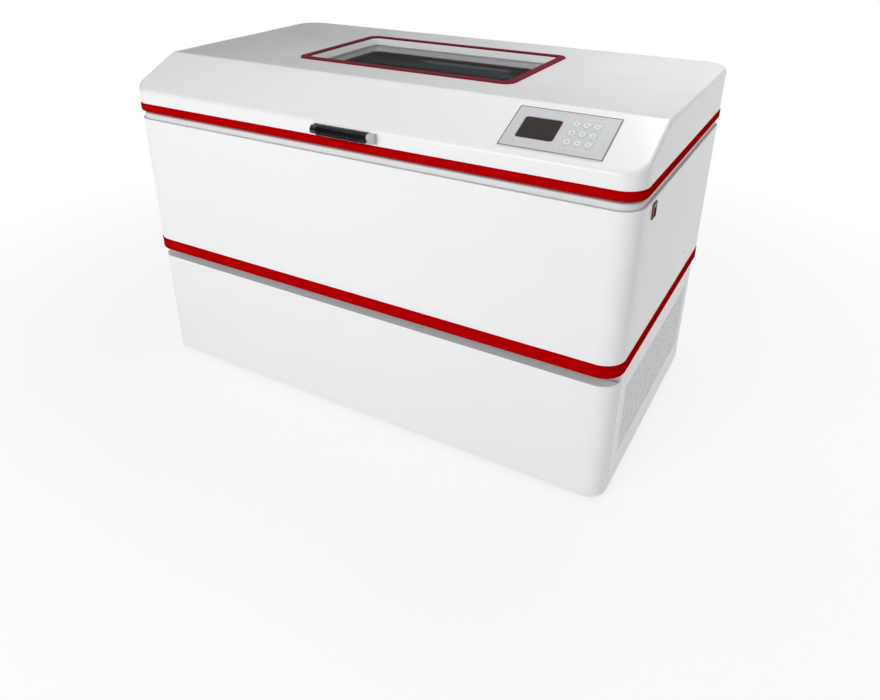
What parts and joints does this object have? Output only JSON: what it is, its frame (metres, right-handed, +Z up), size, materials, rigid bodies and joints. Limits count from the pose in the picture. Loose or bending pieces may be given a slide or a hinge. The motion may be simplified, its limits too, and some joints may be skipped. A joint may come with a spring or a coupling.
{
  "type": "shaking incubator",
  "caption": "Chest-type shaking incubator with a hinged lid, a framed window and a sloped control panel.",
  "frame": {"origin": "on the floor under the middle of the body", "axes": "+X to the right along the front, +Y from front to back, +Z up; the control panel faces -Y"},
  "size_m": [1.1846, 0.7003, 0.759],
  "materials": {
    "cabinet_white": "satin",
    "trim_red": "gloss",
    "frame_grey": "satin",
    "rim_grey": "satin",
    "stainless": "satin",
    "liner_grey": "satin",
    "insulation": "matte",
    "seal_rubber": "matte",
    "glass": "polished",
    "lamp_white": "gloss",
    "panel_grey": "satin",
    "display_dark": "gloss",
    "key_plastic": "satin",
    "board_green": "satin",
    "black_gloss": "gloss",
    "black_plastic": "satin",
    "bright_steel": "polished",
    "machined_steel": "satin",
    "aluminium": "satin",
    "machine_paint": "satin",
    "white_plastic": "satin",
    "window_red": "satin",
    "rocker_red": "gloss"
  },
  "bodies": {
    "cabinet": {"base_frame": "frame_grey", "levelling_feet": "seal_rubber", "base_front_panel": "cabinet_white", "base_right_panel": "cabinet_white", "base_left_panel": "cabinet_white", "base_rear_panel": "cabinet_white", "lower_trim_band": "trim_red", "body_front_panel": "cabinet_white", "body_wrap_panel": "cabinet_white", "chamber_tank": "stainless", "tank_insulation": "insulation", "rim_frame": "rim_grey", "rim_gasket": "seal_rubber", "hinge_fixed_leaves": "bright_steel", "hinge_pins": "machined_steel", "switch_bezel": "black_plastic", "power_inlet": "black_plastic", "drive_mount": "machined_steel", "drive_motor": "machine_paint", "drive_belt": "seal_rubber", "compressor": "machine_paint", "condenser_coil": "aluminium", "fan_shroud": "black_plastic", "air_duct_cover": "stainless", "chamber_fan_motor": "machine_paint", "duct_heater": "stainless", "evaporator_coil": "aluminium", "temperature_probe": "stainless"},
    "lid": {"lid_shell": "cabinet_white", "lid_trim_band": "trim_red", "lid_liner": "liner_grey", "lid_insulation": "insulation", "window_trim": "window_red", "window_panes": "glass", "lamp_tube": "lamp_white", "lamp_holders": "white_plastic", "panel_plate": "panel_grey", "display_window": "display_dark", "control_board": "board_green", "latch_base": "bright_steel", "latch_pin": "machined_steel", "hinge_lid_leaves": "bright_steel"},
    "latch_lever": {"latch_lever": "black_gloss"},
    "rocker": {"rocker": "rocker_red"},
    "drive_spindle": {"drive_spindle": "machined_steel"},
    "platform": {"platform": "aluminium"},
    "idler_crank_left": {"idler_crank_left": "machined_steel"},
    "idler_crank_right": {"idler_crank_right": "machined_steel"},
    "motor_pulley": {"motor_pulley": "machined_steel"},
    "condenser_fan": {"condenser_fan": "black_plastic"},
    "chamber_fan": {"chamber_fan": "aluminium"},
    "key_1": {"key_1": "key_plastic"},
    "key_2": {"key_2": "key_plastic"},
    "key_3": {"key_3": "key_plastic"},
    "key_4": {"key_4": "key_plastic"},
    "key_5": {"key_5": "key_plastic"},
    "key_6": {"key_6": "key_plastic"},
    "key_7": {"key_7": "key_plastic"},
    "key_8": {"key_8": "key_plastic"},
    "key_9": {"key_9": "key_plastic"}
  },
  "joints": [
    {"name": "lid_hinge", "type": "hinge", "parent": "cabinet", "child": "lid", "pos_m": [0, 0.3425, 0.638], "axis": [-1, 0, 0], "range_deg": [0, 70]},
    {"name": "latch_pull", "type": "hinge", "parent": "lid", "child": "latch_lever", "pos_m": [0.008, -0.3415, 0.6845], "axis": [-1, 0, 0], "range_deg": [0, 35], "stiffness_Nm_per_rad": 0.3, "springref_deg": -17.19},
    {"name": "rocker_tip", "type": "hinge", "parent": "cabinet", "child": "rocker", "pos_m": [0.5882, -0.238, 0.606], "axis": [0, -1, 0], "range_deg": [0, 18]},
    {"name": "spindle_turn", "type": "hinge", "parent": "cabinet", "child": "drive_spindle", "pos_m": [-0.05, -0.06, 0.3507], "axis": [0, 0, 1], "continuous": true},
    {"name": "platform_orbit", "type": "hinge", "parent": "drive_spindle", "child": "platform", "pos_m": [-0.0375, -0.06, 0.3627], "axis": [0, 0, 1], "continuous": true},
    {"name": "motor_turn", "type": "hinge", "parent": "cabinet", "child": "motor_pulley", "pos_m": [0.18, -0.06, 0.246], "axis": [0, 0, 1], "continuous": true},
    {"name": "condenser_fan_turn", "type": "hinge", "parent": "cabinet", "child": "condenser_fan", "pos_m": [-0.458, 0, 0.145], "axis": [1, 0, 0], "continuous": true},
    {"name": "chamber_fan_turn", "type": "hinge", "parent": "cabinet", "child": "chamber_fan", "pos_m": [0.48, 0, 0.4282], "axis": [1, 0, 0], "continuous": true},
    {"name": "idler_turn_left", "type": "hinge", "parent": "cabinet", "child": "idler_crank_left", "pos_m": [-0.35, 0.11, 0.3507], "axis": [0, 0, 1], "continuous": true},
    {"name": "idler_turn_right", "type": "hinge", "parent": "cabinet", "child": "idler_crank_right", "pos_m": [0.25, 0.11, 0.3507], "axis": [0, 0, 1], "continuous": true},
    {"name": "key_press_1", "type": "slide", "parent": "lid", "child": "key_1", "axis": [0, 0.4077, -0.9131], "range_m": [0, 0.0005], "stiffness_N_per_m": 800, "springref_m": -0.001},
    {"name": "key_press_2", "type": "slide", "parent": "lid", "child": "key_2", "axis": [0, 0.4077, -0.9131], "range_m": [0, 0.0005], "stiffness_N_per_m": 800, "springref_m": -0.001},
    {"name": "key_press_3", "type": "slide", "parent": "lid", "child": "key_3", "axis": [0, 0.4077, -0.9131], "range_m": [0, 0.0005], "stiffness_N_per_m": 800, "springref_m": -0.001},
    {"name": "key_press_4", "type": "slide", "parent": "lid", "child": "key_4", "axis": [0, 0.4077, -0.9131], "range_m": [0, 0.0005], "stiffness_N_per_m": 800, "springref_m": -0.001},
    {"name": "key_press_5", "type": "slide", "parent": "lid", "child": "key_5", "axis": [0, 0.4077, -0.9131], "range_m": [0, 0.0005], "stiffness_N_per_m": 800, "springref_m": -0.001},
    {"name": "key_press_6", "type": "slide", "parent": "lid", "child": "key_6", "axis": [0, 0.4077, -0.9131], "range_m": [0, 0.0005], "stiffness_N_per_m": 800, "springref_m": -0.001},
    {"name": "key_press_7", "type": "slide", "parent": "lid", "child": "key_7", "axis": [0, 0.4077, -0.9131], "range_m": [0, 0.0005], "stiffness_N_per_m": 800, "springref_m": -0.001},
    {"name": "key_press_8", "type": "slide", "parent": "lid", "child": "key_8", "axis": [0, 0.4077, -0.9131], "range_m": [0, 0.0005], "stiffness_N_per_m": 800, "springref_m": -0.001},
    {"name": "key_press_9", "type": "slide", "parent": "lid", "child": "key_9", "axis": [0, 0.4077, -0.9131], "range_m": [0, 0.0005], "stiffness_N_per_m": 800, "springref_m": -0.001}
  ],
  "couplings": [
    {"joint": "platform_orbit", "follows": "spindle_turn", "ratio": -1},
    {"joint": "motor_turn", "follows": "spindle_turn", "ratio": 2.5},
    {"joint": "idler_turn_left", "follows": "spindle_turn", "ratio": 1},
    {"joint": "idler_turn_right", "follows": "spindle_turn", "ratio": 1}
  ]
}
